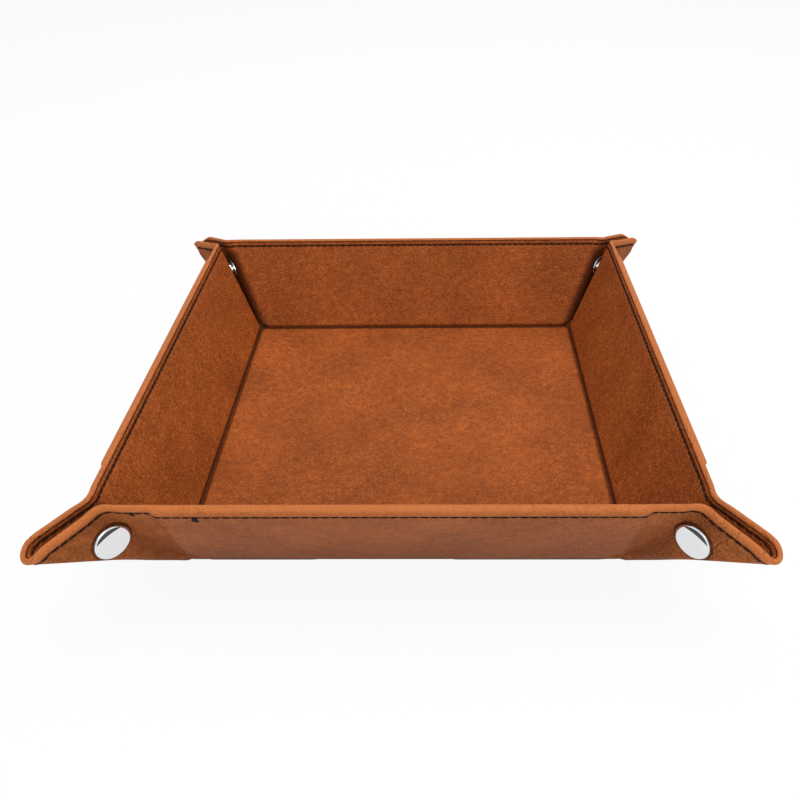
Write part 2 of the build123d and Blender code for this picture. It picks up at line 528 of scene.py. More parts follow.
class Nodes:
    """A short way to write a node tree."""

    def __init__(self, tree: bpy.types.NodeTree) -> None:
        """Starts from an empty tree."""
        self.tree = tree
        tree.nodes.clear()

    def add(self, kind: str, **values: object) -> bpy.types.Node:
        """Adds a node.

        Args:
            kind: The node's type, without its first words.
            **values: Its own settings, or its inputs by socket name with spaces as _.

        Returns:
            The node.
        """
        node = self.tree.nodes.new(kind if kind.startswith("NodeGroup") else f"ShaderNode{kind}")
        for key, value in values.items():
            if hasattr(node, key):
                setattr(node, key, value)
            else:
                self.put(node.inputs[key.replace("_", " ")], value)
        return node

    def put(self, socket: Socket, value: object) -> None:
        """Links a socket to another, or sets its value.

        Args:
            socket: The socket.
            value: Another socket, or a value.
        """
        if isinstance(value, bpy.types.NodeSocket):
            self.tree.links.new(value, socket)
        else:
            socket.default_value = value

    def fed(self, kind: str, *values: object, **settings: object) -> bpy.types.Node:
        """Adds a node with its inputs given in order.

        Args:
            kind: The node's type, without its first words.
            *values: Its inputs, in order.
            **settings: Its own settings, or further inputs by name.

        Returns:
            The node.
        """
        node = self.add(kind, **settings)
        for socket, value in zip(node.inputs, values):
            self.put(socket, value)
        return node

    def math(self, operation: str, *values: object) -> Socket:
        """A Math node's result."""
        return self.fed("Math", *values, operation=operation).outputs[0]

    def times(self, *values: object) -> Socket:
        """The values' product."""
        return reduce(lambda a, b: self.math("MULTIPLY", a, b), values)

    def plus(self, a: object, b: object) -> Socket:
        """A sum."""
        return self.math("ADD", a, b)

    def minus(self, a: object, b: object) -> Socket:
        """A difference."""
        return self.math("SUBTRACT", a, b)

    def off(self, a: object, b: object) -> Socket:
        """How far two values are apart."""
        return self.math("ABSOLUTE", self.minus(a, b))

    def length(self, x: object, y: object) -> Socket:
        """How long a way in a plane is."""
        return self.math("SQRT", self.plus(self.times(x, x), self.times(y, y)))

    def ramp(self, value: object, low: object, high: object) -> Socket:
        """A value spread smoothly from 0 at low to 1 at high."""
        return self.fed("MapRange", value, low, high, interpolation_type="SMOOTHSTEP").outputs[0]

    def mix(self, share: object, a: object, b: object) -> Socket:
        """A colour mixed from two.

        Args:
            share: The share of the second colour.
            a: The first colour.
            b: The second colour.

        Returns:
            The mixed colour.
        """
        node = self.add("Mix", data_type="RGBA")
        for index, value in ((0, share), (6, a), (7, b)):
            self.put(node.inputs[index], value)
        return node.outputs[2]

    def noise(self, vector: object, scale: float, detail: float, roughness: float = 0.5) -> Socket:
        """A noise texture's value.

        Args:
            vector: The place.
            scale: The noise's scale.
            detail: Its detail.
            roughness: Its roughness.

        Returns:
            The noise, from 0 to 1.
        """
        return self.add(
            "TexNoise", Vector=vector, Scale=scale, Detail=detail, Roughness=roughness
        ).outputs[0]

    def drift(self, vector: Socket, scale: float, detail: float, amount: float) -> Socket:
        """A place moved a little by a noise.

        Args:
            vector: The place.
            scale: The noise's scale.
            detail: The noise's detail.
            amount: How far the place moves at most.

        Returns:
            The moved place.
        """
        noise = self.add("TexNoise", Vector=vector, Scale=scale, Detail=detail)
        way = self.fed("VectorMath", noise.outputs["Color"], operation="SCALE", Scale=amount)
        return self.fed("VectorMath", vector, way.outputs[0], operation="ADD").outputs[0]

    def split(self, vector: object, operation: str = "") -> list[Socket]:
        """A vector's three parts, after an operation on it if one is given.

        Args:
            vector: The vector.
            operation: The operation, or nothing.

        Returns:
            The three parts.
        """
        if operation:
            vector = self.fed("VectorMath", vector, operation=operation).outputs[0]
        return list(self.fed("SeparateXYZ", vector).outputs)


def linear(red: int, green: int, blue: int) -> tuple[float, float, float, float]:
    """A screen colour of 0 to 255 as the shader's colour.

    Args:
        red: Its red.
        green: Its green.
        blue: Its blue.

    Returns:
        The colour, opaque.
    """
    steps = [c / 255 for c in (red, green, blue)]
    values = [c / 12.92 if c <= 0.04045 else ((c + 0.055) / 1.055) ** 2.4 for c in steps]
    return (*values, 1.0)


def shifted(colour: Colour, step: int) -> tuple[float, float, float, float]:
    """A screen colour made lighter or darker, as the shader's colour."""
    return linear(*[c + step for c in colour])


def new_group(
    name: str, takes: dict[str, str], gives: dict[str, str]
) -> tuple[Tree, Nodes, bpy.types.Node, bpy.types.Node]:
    """An empty node group.

    Args:
        name: The group's name.
        takes: The kind of each input by its name.
        gives: The kind of each output by its name.

    Returns:
        The group, its writer, and its input and output nodes.
    """
    group = bpy.data.node_groups.new(name, "ShaderNodeTree")
    for way, sockets in (("INPUT", takes), ("OUTPUT", gives)):
        for label, kind in sockets.items():
            group.interface.new_socket(label, in_out=way, socket_type=f"NodeSocket{kind}")
    n = Nodes(group)
    return group, n, n.add("NodeGroupInput"), n.add("NodeGroupOutput")


def new_material(name: str, **inputs: object) -> tuple[Material, Nodes, bpy.types.Node]:
    """A material with one shader.

    Args:
        name: The material's name.
        **inputs: The shader's inputs by socket name with spaces as _.

    Returns:
        The material, its writer and its shader.
    """
    material = bpy.data.materials.new(name)
    material.use_nodes = True
    n = Nodes(material.node_tree)
    shader = n.add("BsdfPrincipled", **inputs)
    n.add("OutputMaterial", Surface=shader.outputs["BSDF"])
    return material, n, shader


def grain_group() -> Tree:
    """Leather grain: pebbles, pores, faint wrinkles and cloudy colour.

    Returns:
        The group, with its colours and strengths as inputs.
    """
    takes = {"Vector": "Vector"} | dict.fromkeys(("Colour", "Deep colour", "Worn colour"), "Color")
    takes |= dict.fromkeys(("Roughness", "Cloud", "Pebble", "Wrinkle"), "Float")
    gives = {"Colour": "Color", "Roughness": "Float", "Height": "Float"}
    group, n, enter, leave = new_group("leather_grain", takes, gives)
    given = list(enter.outputs)[: len(takes)]
    place, tone, deep, worn, roughness, clouds, pebbles, wrinkles = given
    bent = n.drift(place, 900.0, 2.0, 0.0011)
    pebble = n.add("TexVoronoi", Scale=1150.0, feature="SMOOTH_F1", Smoothness=0.6, Vector=bent)
    cells = n.minus(1.0, pebble.outputs["Distance"])
    fine = n.noise(place, 1500.0, 3.0, 0.65)
    grain = n.times(n.plus(n.times(cells, 0.6), n.times(fine, 0.6)), pebbles)
    slow = n.drift(place, 60.0, 3.0, 0.03)
    crazed = n.add("TexVoronoi", Scale=150.0, feature="DISTANCE_TO_EDGE", Vector=slow)
    vein = n.minus(1.0, n.ramp(crazed.outputs[0], 0.0, 0.11))
    patch = n.ramp(n.noise(place, 22.0, 3.0, 0.55), 0.42, 0.62)
    wrinkle = n.times(vein, patch, wrinkles)
    cloud = n.ramp(n.noise(place, 34.0, 4.0, 0.6), 0.3, 0.72)
    speckle = n.ramp(n.noise(place, 980.0, 3.0, 0.7), 0.38, 0.62)
    mottle = n.ramp(n.noise(place, 300.0, 2.0, 0.6), 0.35, 0.68)
    for share, colour in (
        (n.times(n.minus(1.0, cloud), clouds), deep),
        (n.times(n.minus(1.0, speckle), 0.52), deep),
        (n.times(n.ramp(fine, 0.46, 0.7), 0.55), worn),
        (n.times(n.minus(1.0, mottle), 0.3), deep),
        (n.times(wrinkle, 0.35), deep),
    ):
        tone = n.mix(share, tone, colour)
    n.put(leave.inputs["Colour"], tone)
    n.put(leave.inputs["Roughness"], n.plus(roughness, n.times(n.minus(speckle, 0.5), 0.14)))
    n.put(leave.inputs["Height"], n.minus(grain, n.times(wrinkle, 0.9)))
    return group


@dataclass(frozen=True)
class MarkSpans:
    """Where each mark of the sheet is none and where it is full, in metres."""

    inner_face: tuple[float, float] = (0.0019, 0.0027)
    outer_face: tuple[float, float] = (0.0001, 0.0014)
    outer_roll: tuple[float, float] = (0.0032, 0.0014)
    inner_roll: tuple[float, float] = (0.0013, 0.0006)
    lip: tuple[float, float] = (0.0005, 0.0001)
    lip_inset: float = 0.00154
    seam: tuple[float, float] = (0.00065, 0.0002)
    fold: tuple[float, float] = (0.0013, 0.0001)
    fold_ends: tuple[float, float] = (0.0777, 0.0759)
    foot: tuple[float, float] = (0.1005, 0.0775)
    corner: tuple[float, float] = (0.0026, 0.0012)
    corner_place: float = 0.0761
    pinch_width: float = 0.0034
    pinch_past: tuple[float, float] = (0.0065, 0.002)
    pinch_up: tuple[float, float] = (-0.0005, 0.0008)
    pinch_inset: tuple[float, float] = (0.0035, 0.0075)
    ear_rise: tuple[float, float] = (-0.002, 0.0015)
    ear_fade: tuple[float, float] = (0.012, 0.004)
    ear_up: tuple[float, float] = (0.0, 0.003)
    snap: tuple[float, float] = (0.0007, 0.0001)
    snap_radius: float = 0.0048
    cap_wider_outside: float = 0.0016
    cap_wider_inside: float = 0.0009


SPANS = MarkSpans()


def marks_group() -> Tree:
    """Where the sheet is rolled, sewn, folded and pressed, worked out from its flat place.

    Returns:
        The group, with one mask for each mark.
    """
    names = ("Rim", "Lip", "Seam", "Fold", "Foot", "Ear", "Pinch", "Snap")
    gives = dict.fromkeys(names, "Float")
    group, n, enter, leave = new_group("sheet_marks", {"Vector": "Vector"}, gives)
    x, y, z = n.split(enter.outputs["Vector"], "ABSOLUTE")
    inner = n.ramp(z, *SPANS.inner_face)
    outer = n.minus(1.0, inner)
    with_cap = n.math("GREATER_THAN", y, x)
    far, near = n.math("MAXIMUM", x, y), n.math("MINIMUM", x, y)
    round_start = SHEET.rim_end * MM
    beyond = [n.math("MAXIMUM", n.minus(c, round_start), 0.0) for c in (x, y)]
    out = n.plus(n.length(*beyond), n.math("MINIMUM", n.minus(far, round_start), 0.0))
    inset = n.minus(SHEET.corner_radius * MM, out)
    up = n.minus(far, SHEET.base_half * MM)
    past = n.minus(near, n.math("MULTIPLY_ADD", up, SHEET.fold_slope, SHEET.fold_foot * MM))
    # Painted highlight: the roll is lighter towards its top, where the light falls on it
    rounded = n.plus(0.5, n.times(n.ramp(z, *SPANS.outer_face), 0.5))
    roll = n.times(outer, rounded, n.ramp(inset, *SPANS.outer_roll))
    folded = n.times(n.ramp(n.math("ABSOLUTE", up), *SPANS.fold), n.ramp(near, *SPANS.fold_ends))
    to_corner = n.length(*[n.minus(c, SPANS.corner_place) for c in (x, y)])
    # Painted shadow in the narrow gap between two ears, on the lining beside the ear's fold line
    start = n.times(with_cap, -SPANS.pinch_width)
    pinched = n.ramp(past, start, n.plus(start, SPANS.pinch_width))
    pinched = n.times(pinched, n.ramp(inset, *SPANS.pinch_inset))
    opened = n.times(n.ramp(past, *SPANS.pinch_past), n.ramp(up, *SPANS.pinch_up))
    band = n.times(n.ramp(past, *SPANS.ear_rise), n.ramp(past, *SPANS.ear_fade))
    snap = (SHEET.base_half + SHEET.snap[1]) * MM, SHEET.snap[0] * MM
    to_snap = n.length(*[n.minus(c, at) for c, at in zip((far, near), snap)])
    narrower = SPANS.cap_wider_outside - SPANS.cap_wider_inside
    wider = n.minus(SPANS.cap_wider_outside, n.times(inner, narrower))
    pressed = n.plus(SPANS.snap_radius, n.times(with_cap, wider))
    masks = {
        # Rim: lighter from wear, with a painted highlight towards the roll's top
        "Rim": n.plus(roll, n.times(inner, n.ramp(inset, *SPANS.inner_roll))),
        # Lip: painted shade in the groove along the cover's turned-in edge
        "Lip": n.times(inner, n.ramp(n.off(inset, SPANS.lip_inset), *SPANS.lip)),
        # Seam: painted shade in the stitch groove
        "Seam": n.ramp(n.off(inset, SHEET.stitch_inset * MM), *SPANS.seam),
        # Fold: painted shade in the base's folds and at its corners
        "Fold": n.math("MAXIMUM", folded, n.ramp(to_corner, *SPANS.corner)),
        # Foot: painted shade, darker towards the bottom of the cover's outer face
        "Foot": n.times(outer, n.ramp(far, *SPANS.foot)),
        # Ear: painted shade in a band beside the ear's fold line
        "Ear": n.times(band, n.ramp(up, *SPANS.ear_up)),
        # Pinch: painted shadow in the gap between two ears, on the lining
        "Pinch": n.times(inner, pinched, opened),
        # Snap: painted contact shadow in a ring round each snap
        "Snap": n.ramp(n.off(to_snap, pressed), *SPANS.snap),
    }
    for name, mask in masks.items():
        n.put(leave.inputs[name], mask)
    return group


@dataclass(frozen=True)
class LeatherFinish:
    """One colour of leather, with its grain and how dark each mark is: painted shade in the
    grooves, creases, folds, the pinch between the ears, round the snaps, beside the ear folds and
    towards the bottom, and a rim lighter from wear and a painted highlight.
    """

    name: str
    colour: Colour
    deep: Colour
    worn: Colour
    roughness: float
    cloud: float
    pebble: float
    wrinkle: float
    specular: float
    bump: float = 0.85
    seam_shade: float = 0.45
    fold_shade: float = 0.85
    ear_shade: float = 0.3
    # How much lighter the rim is, from wear and a painted highlight
    rim_wear: float = 0.0
    lip_shade: float = 0.45
    foot_shade: float = 0.0
    pinch_shade: float = 0.75
    snap_shade: float = 0.6
    # The colour of the painted shade in the stitch groove, at the lip, in the creases and folds, in
    # the pinch between the ears and round the snaps
    soil: Colour = (44, 18, 8)
    relief: float = 0.0004

    def material(self, group: Tree, marks: Tree) -> Material:
        """The finish as a material.

        Args:
            group: The shared leather grain.
            marks: The shared marks of the sheet.

        Returns:
            The material.
        """
        material, n, shader = new_material(self.name, Specular_IOR_Level=self.specular)
        place = n.add("Attribute", attribute_name=FLAT_PLACE).outputs["Vector"]
        deep, soil, worn = linear(*self.deep), linear(*self.soil), linear(*self.worn)
        strengths = (self.roughness, self.cloud, self.pebble, self.wrinkle)
        grain = n.fed("Group", place, linear(*self.colour), deep, worn, *strengths, node_tree=group)
        mark = n.fed("Group", place, node_tree=marks)
        tone, height = grain.outputs["Colour"], grain.outputs["Height"]
        # Each mark mixes in painted shade, except the rim, which is lighter from wear and a painted
        # highlight
        for name, shade, colour, sink in (
            ("Ear", self.ear_shade, deep, 0.0),
            ("Foot", self.foot_shade, deep, 0.0),
            ("Rim", self.rim_wear, worn, 0.0),
            ("Lip", self.lip_shade, soil, 0.5),
            ("Seam", self.seam_shade, soil, 1.0),
            ("Pinch", self.pinch_shade, soil, 0.0),
            ("Fold", self.fold_shade, soil, 1.2),
            ("Snap", self.snap_shade, soil, 0.8),
        ):
            mask = mark.outputs[name]
            tone = n.mix(n.times(mask, shade), tone, colour)
            if sink:
                height = n.minus(height, n.times(mask, sink))
        relief = n.add("Bump", Strength=self.bump, Distance=self.relief, Height=height)
        n.put(shader.inputs["Base Color"], tone)
        n.put(shader.inputs["Roughness"], grain.outputs["Roughness"])
        n.put(shader.inputs["Normal"], relief.outputs["Normal"])
        return material


LINING_FINISH = LeatherFinish(
    "cognac_lining", (178, 92, 40), (102, 44, 16), (208, 122, 60),
    roughness=0.52, cloud=0.5, pebble=1.0, wrinkle=0.35, specular=0.07,
)
COVER_FINISH = LeatherFinish(
    "tan_cover", (172, 98, 50), (104, 54, 26), (198, 116, 64),
    roughness=0.5, cloud=0.42, pebble=1.4, wrinkle=0.65, specular=0.05,
    rim_wear=0.75, foot_shade=0.3, ear_shade=0.45, bump=1.0,
)


@dataclass(frozen=True)
class FibreFinish:
    """Fine fibres, as in thread or board."""

    name: str
    dark: Colour
    lighter: int
    scale: float
    detail: float
    uneven: float
    roughness: float
    specular: float
    bump: float
    depth: float
    attribute: str = ""

    def material(self) -> Material:
        """The fibres as a material.

        Returns:
            The material.
        """
        material, n, shader = new_material(
            self.name, Roughness=self.roughness, Specular_IOR_Level=self.specular
        )
        if self.attribute:
            place = n.add("Attribute", attribute_name=self.attribute).outputs["Vector"]
        else:
            place = n.add("TexCoord").outputs["Object"]
        fibre = n.noise(place, self.scale, self.detail, self.uneven)
        relief = n.add("Bump", Strength=self.bump, Distance=self.depth, Height=fibre)
        tone = n.mix(fibre, linear(*self.dark), shifted(self.dark, self.lighter))
        n.put(shader.inputs["Base Color"], tone)
        n.put(shader.inputs["Normal"], relief.outputs["Normal"])
        return material


THREAD_FINISH = FibreFinish(
    "black_thread", (13, 9, 7), 16, scale=2600.0, detail=2.0, uneven=0.5,
    roughness=0.7, specular=0.08, bump=0.4, depth=0.0002, attribute=FLAT_PLACE,
)
BOARD_FINISH = FibreFinish(
    "grey_chipboard", (120, 111, 96), 50, scale=700.0, detail=5.0, uneven=0.7,
    roughness=0.9, specular=0.5, bump=0.3, depth=0.0003,
)


@dataclass(frozen=True)
class MetalFinish:
    """Polished nickel with painted shade at its rims and where it sits on the leather, and a
    painted dark ring and crescent of reflection on the caps.
    """

    name: str = "polished_nickel"
    colour: Colour = (232, 232, 234)
    # The colour of the painted shade and the painted dark reflections
    tarnish_colour: Colour = (34, 30, 28)
    most_tarnish: float = 0.92
    roughness: float = 0.14
    ring_radius: float = 0.005
    ring_shade: float = 0.95
    ring_blur: tuple[float, float] = (0.0002, 0.00004)
    ring_top: float = -0.0001
    edge_radius: float = 0.00622
    edge_width: float = 0.0003
    foot: tuple[float, float] = (0.00034, 0.0002)
    crescent_radius: float = 0.0057
    crescent_centre: tuple[float, float] = (-0.0004, -0.0078)
    crescent_start: float = 0.012
    crescent_blur: tuple[float, float] = (0.00012, 0.00015)
    haze: float = 0.35
    haze_scale: float = 240.0
    haze_step: int = -24
    tarnish_roughness: float = 0.3

    def material(self) -> Material:
        """The metal as a material.

        Returns:
            The material.
        """
        material, n, shader = new_material(self.name, Metallic=1.0)
        place = n.add("Attribute", attribute_name=TURNED_PLACE).outputs["Vector"]
        x, y, z = n.split(place)
        radius = n.length(x, y)
        # Painted dark reflections as a ring at the bevel's start and a crescent on the face, and
        # painted shade at the rim's undercut and where the metal sits on the leather
        ring = n.ramp(n.off(radius, self.ring_radius), *self.ring_blur)
        ring = n.times(ring, n.ramp(z, 0.0, self.ring_top), self.ring_shade)
        edge = n.ramp(radius, self.edge_radius - self.edge_width, self.edge_radius)
        foot = n.ramp(n.math("ABSOLUTE", z), *self.foot)
        aside = n.length(*[n.minus(c, at) for c, at in zip((x, y), self.crescent_centre)])
        within = n.ramp(radius, self.crescent_radius, self.crescent_radius - self.crescent_blur[0])
        beyond = n.ramp(aside, self.crescent_start, self.crescent_start + self.crescent_blur[1])
        marks = (ring, edge, foot, n.times(within, beyond))
        shade_and_reflection = reduce(lambda a, b: n.math("MAXIMUM", a, b), marks)
        shade_and_reflection = n.math("MINIMUM", shade_and_reflection, self.most_tarnish)
        haze = n.times(n.noise(place, self.haze_scale, 3.0, 0.6), self.haze)
        hazed = n.mix(haze, linear(*self.colour), shifted(self.colour, self.haze_step))
        n.put(shader.inputs["Base Color"], n.mix(shade_and_reflection, hazed, linear(*self.tarnish_colour)))
        rough = n.plus(self.roughness, n.times(shade_and_reflection, self.tarnish_roughness))
        n.put(shader.inputs["Roughness"], rough)
        return material


@dataclass
class Finishes:
    """Every material of the tray."""

    lining: Material
    cover: Material
    thread: Material
    metal: Material
    board: Material

    @classmethod
    def make(cls) -> "Finishes":
        """Makes each material once.

        Returns:
            The materials.
        """
        grain, marks = grain_group(), marks_group()
        leathers = [finish.material(grain, marks) for finish in (LINING_FINISH, COVER_FINISH)]
        others = [finish.material() for finish in (THREAD_FINISH, MetalFinish(), BOARD_FINISH)]
        return cls(*leathers, *others)

    def leather(self, ply: Ply) -> Material:
        """The leather of one ply."""
        return self.lining if ply is Ply.LINING else self.cover


@dataclass(frozen=True)
class HemProfile:
    """The rolled hem of the cover and the lining's edge that is sewn over it."""

    groove: float
    roll: float
    steps: int
    turned_under: float = 0.98
    lining_back: float = 1.78
    tuck: float = 0.25

    def sunk(self, share: Value, inset: Value) -> Value:
        """How far the stitches press a face into the leather, from 0 inside to 1 outside."""
        pressed = self.groove * bump(inset, SHEET.stitch_inset, SHEET.stitch_groove_width)
        return np.sign(0.5 - share) * pressed

    def lining_edge(self) -> list[Point]:
        """The lining's thin edge beside the lip, as inset and depth."""
        top = SHEET.lip + 0.08
        return [(top + 0.05, 0.34), (top, 0.22), (top + 0.05, 0.08), (top + 0.22, 0.0)]

    def cover_roll(self) -> list[Point]:
        """The cover's roll from outside to inside, as inset and share of the thickness."""
        turn = [math.pi / 2 - math.pi * step / self.steps for step in range(self.steps + 1)]
        return [(self.roll * (1 - math.cos(a)), 0.5 + 0.5 * math.sin(a)) for a in turn]

    def cover_lip(self) -> list[Point]:
        """The turned-in edge of the cover, as inset and depth."""
        return [(SHEET.lip - 0.1, 0.02), (SHEET.lip, 0.14), (SHEET.lip, 0.4)]


@dataclass
class WallLeather:
    """One ply of half a wall and its ear, as one bent piece."""

    half: HalfWall
    ply: Ply
    finishes: Finishes
    columns_on_wall: int = 76
    columns_on_ear: int = 34
    deep_rows: int = 22
    hem: HemProfile = HemProfile(groove=0.22, roll=1.35, steps=14)
    seam_rows: Point = (-0.9, -0.6, -0.3, 0.0, 0.3, 0.6, 0.9, 1.6)
    unevenness: float = 0.1
    wave_phases: Point = (1.7, 0.9)
    wave_lengths: Point = (8.3, 7.1, 5.2)
    edge_fade: Point = (3.0, 12.0)
    fold_fade: float = 9.0
    middle_fade: float = 8.0

    def columns(self) -> tuple[np.ndarray, np.ndarray, np.ndarray]:
        """Where each column starts on the border and ends at the foot.

        Returns:
            Lengths along the border, and the feet's u and v.
        """
        tip_turn = math.pi / 4 - math.asin(SHEET.crease_half_widths[1] / SHEET.corner_radius)
        end = SHEET.rim_end + SHEET.corner_radius * tip_turn
        wall = np.linspace(0, 1, self.columns_on_wall)
        ear = np.linspace(0, 1, self.columns_on_ear)[1:]
        top = SHEET.fold_top
        rim = np.concatenate([wall * top, top + ear * (end - top)])
        feet_u = np.concatenate([wall * SHEET.foot_end, np.full(len(ear), SHEET.apex[0])])
        feet_v = np.repeat([SHEET.seam_rise, SHEET.apex[1]], [len(wall), len(ear)])
        return rim, feet_u, feet_v

    def deep(self, share: float, depth: float, rising: bool) -> list[Point]:
        """The section's points between the stitches and the foot.

        Args:
            share: The share of the thickness from the inner face out.
            depth: How far beyond that share the points lie.
            rising: Whether they run up from the foot, or down to it.

        Returns:
            The points, as section gives them.
        """
        steps = range(self.deep_rows + 1)
        ordered = reversed(steps) if rising else steps
        return [(SHEET.plain_inset, step / self.deep_rows, share, depth) for step in ordered]

    def section(self) -> list[Point]:
        """The closed cross-section.

        Returns:
            For each point its inset from the border, its share of the way from there down
            to the foot, its share of the thickness from the inner face out, and its depth.
        """
        rows = [SHEET.stitch_inset + row for row in self.seam_rows]
        if self.ply is Ply.LINING:
            under = self.hem.turned_under
            face = [(inset, 0.0, 0.0, depth) for inset, depth in self.hem.lining_edge()]
            face += [(row, 0.0, 0.0, 0.0) for row in rows]
            back = [(row, 0.0, 0.0, under) for row in reversed(rows[::2])]
            back += [(self.hem.lining_back, 0.0, 0.0, under)]
            return face + self.deep(0.0, 0.0, False) + self.deep(0.0, under, True) + back
        face = [(row, 0.0, 1.0, 0.0) for row in reversed(rows)]
        around = [(inset, 0.0, share, 0.0) for inset, share in self.hem.cover_roll()]
        lip = [(inset, 0.0, 0.0, depth) for inset, depth in self.hem.cover_lip()]
        hidden = [(self.hem.roll + self.hem.tuck, 0.0, 0.5, self.hem.tuck)]
        hidden += [(row, 0.0, 1.0, -SHEET.leather) for row in rows[1::2]]
        top = self.deep(1.0, 0.0, True) + face + around + lip
        return top + hidden + self.deep(1.0, -SHEET.leather, False)

    def points(self) -> np.ndarray:
        """The flat piece's rings, one for each column.

        Returns:
            Points of the flat tray, as columns by section by 3.
        """
        rim, feet_u, feet_v = self.columns()
        lines = []
        for inset, down, share, depth in self.section():
            u, v = SHEET.border(rim, inset)
            u, v = u + (feet_u - u) * down, v + (feet_v - v) * down
            w = SHEET.thickness(u) * share + depth + self.hem.sunk(share, inset) + self.wave(u, v)
            lines.append(self.half.place(u, v, w))
        return np.stack(lines, axis=1)

    def wave(self, u: np.ndarray, v: np.ndarray) -> np.ndarray:
        """A slow unevenness of the leather, none at its edges.

        Args:
            u: Along the fold line.
            v: Up the wall.

        Returns:
            How far the leather lies outwards, in millimetres.
        """
        by_side, by_hand = self.wave_phases
        phase = self.half.side.value * by_side + self.half.hand * by_hand
        window = smooth(*self.edge_fade, v) * smooth(*self.edge_fade, SHEET.slant - v)
        window = window * smooth(0.0, self.fold_fade, SHEET.step_start - u)
        window = window * smooth(0.0, self.middle_fade, u)
        along, up, slanting = self.wave_lengths
        slow = np.sin(u / along + phase) * np.cos(v / up - phase)
        slow = slow + 0.6 * np.sin((u + v) / slanting + 2 * phase)
        return self.unevenness * window * slow

    def build(self) -> Piece:
        """Makes, folds and dresses the piece.

        Returns:
            The finished piece.
        """
        obj = rolled(f"{self.half.ear}_{self.ply.value}_leather", self.points())
        fold_piece(obj, self.half.fold)
        dress(obj, self.finishes.leather(self.ply), Sharp.SHEET)
        self.half.bend_with_ear(obj)
        nodes = [f"{self.half.wall}_{self.ply.value}", f"{self.half.ear}_{self.ply.value}"]
        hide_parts(*nodes, f"{self.half.wall}_ear_fold_strips")
        return obj


@dataclass(frozen=True)
class Crease:
    """How half of the round turn between two ears lies flat and at rest."""

    half: HalfWall
    inner_share: float = 0.9
    squash_depth: float = 0.75
    keep: float = 0.35

    def on_sheet(self, reach: Value, aside: Value, w: Value) -> np.ndarray:
        """Points of the flat tray by their place beside the crease.

        Args:
            reach: How far along the crease.
            aside: How far to the ear's side of it.
            w: Through the thickness.

        Returns:
            Points of the flat tray.
        """
        u = SHEET.base_half + (reach - aside) / math.sqrt(2)
        return self.half.place(u, (reach + aside) / math.sqrt(2), w)

    def sideways(self) -> np.ndarray:
        """The level way from the crease's upright plane to this ear.

        Returns:
            The way, one long.
        """
        x, y, _ = np.sign(self.half.place(SHEET.base_half, 0.0, 0.0)) / math.sqrt(2)
        side = np.array([y, -x, 0.0])
        return side if side @ self.half.place(0.0, 0.0, 0.0) > 0 else -side

    def down(self) -> np.ndarray:
        """The way out of the turn, square to the crease at rest.

        Returns:
            The way, one long.
        """
        sideways = self.sideways()
        reach = np.array([SHEET.reach(*SHEET.apex), SHEET.reach(*SHEET.tip)])
        ends = self.half.fold_ear(self.on_sheet(reach, SHEET.crease_width(reach), SHEET.leather))
        crease = ends[1] - ends[0]
        square = unit(np.cross(crease - sideways * (crease @ sideways), sideways))
        return -square if square[2] > 0 else square

    def fold(self, reach: np.ndarray, aside: np.ndarray, w: np.ndarray) -> np.ndarray:
        """Points of the turn at rest.

        Args:
            reach: How far along the crease, counted from the base's corner.
            aside: How far to the ear's side of it, up to the turn's width there.
            w: Through the thickness.

        Returns:
            Points at rest, on a quarter of an oval from the ear's edge to the middle plane.
        """
        sideways, down = self.sideways(), self.down()
        width = SHEET.crease_width(reach)
        turn = (1 - aside / width) * math.pi / 2
        edge = self.half.fold(self.on_sheet(reach, width, w))
        out = np.maximum(edge @ sideways, 0.0)[:, None] * sideways
        sag = SHEET.sag * smooth(SHEET.sag_end, 0.0, reach)
        depth = (width + sag - (SHEET.ear_thickness - w) * self.inner_share) * MM
        rest = edge - out * (1 - np.cos(turn))[:, None] + down * (depth * np.sin(turn))[:, None]
        rest[:, 2] = np.maximum(rest[:, 2], 0.0)
        return rest

    def fold_piece(self, obj: Piece, within: bool) -> None:
        """Keeps a flat piece's places for its grain and folds it to rest.

        Args:
            obj: The piece.
            within: Whether it ends at the ear's edge, or may run on past it.
        """
        keep_place(obj)
        u, v, w = self.half.sheet_place(coordinates(obj))
        reach, aside = SHEET.reach(u, v), np.maximum(SHEET.aside(u, v), 0.0)
        if within:
            aside = np.minimum(aside, SHEET.crease_width(reach))
        set_coordinates(obj, self.fold(reach, aside, w))

    def attach(self, obj: Piece) -> None:
        """Lets a piece ride on the ear.

        Args:
            obj: The piece.
        """
        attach(obj, self.half.ear)
        depths = np.array([0.0, self.squash_depth])
        rest = self.half.fold_ear(self.half.place(*SHEET.snap, depths))
        fold = f"{self.half.ear}_fold"
        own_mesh(obj)


